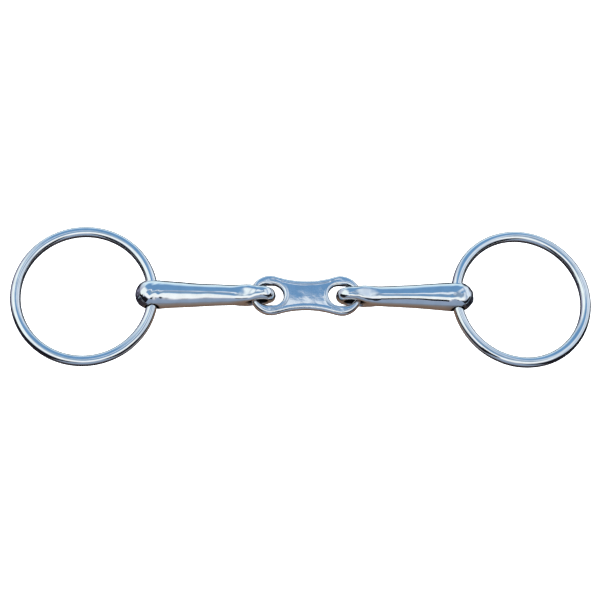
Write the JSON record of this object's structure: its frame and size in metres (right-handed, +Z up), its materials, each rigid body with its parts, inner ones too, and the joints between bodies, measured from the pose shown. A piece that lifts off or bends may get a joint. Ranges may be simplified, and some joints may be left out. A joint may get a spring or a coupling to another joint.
{
  "type": "snaffle bit",
  "caption": "Double-jointed horse bit: tapered mouthpiece arms joined by a flat bone-shaped link, with a loose round ring through each outer end.",
  "frame": {"origin": "on the table that the bit lies on, under the middle of the link", "axes": "+X along the mouthpiece towards the right ring, +Y across it, +Z up from the table"},
  "size_m": [0.26, 0.065, 0.013],
  "materials": {
    "cannon_steel": "mirror-polished stainless steel",
    "ring_steel": "mirror-polished stainless steel wire",
    "link_steel": "polished stainless steel with a slightly softer, hand-finished face"
  },
  "bodies": {
    "link": {"french_link": "link_steel"},
    "left_arm": {"left_cannon": "cannon_steel"},
    "right_arm": {"right_cannon": "cannon_steel"},
    "left_loose_ring": {"left_ring": "ring_steel"},
    "right_loose_ring": {"right_ring": "ring_steel"}
  },
  "joints": [
    {"name": "left_fold", "type": "hinge", "parent": "link", "child": "left_arm", "pos_m": [-0.02335, 0, 0.0065], "axis": [0, 1, 0], "range_deg": [-110, 110]},
    {"name": "right_fold", "type": "hinge", "parent": "link", "child": "right_arm", "pos_m": [0.02335, 0, 0.0065], "axis": [0, 1, 0], "range_deg": [-110, 110]},
    {"name": "left_ring_swing", "type": "hinge", "parent": "left_arm", "child": "left_loose_ring", "pos_m": [-0.06796, 0, 0.0065], "axis": [0, -1, 0], "range_deg": [-174, 166]},
    {"name": "right_ring_swing", "type": "hinge", "parent": "right_arm", "child": "right_loose_ring", "pos_m": [0.06796, 0, 0.0065], "axis": [0, -1, 0], "range_deg": [-166, 174]}
  ]
}
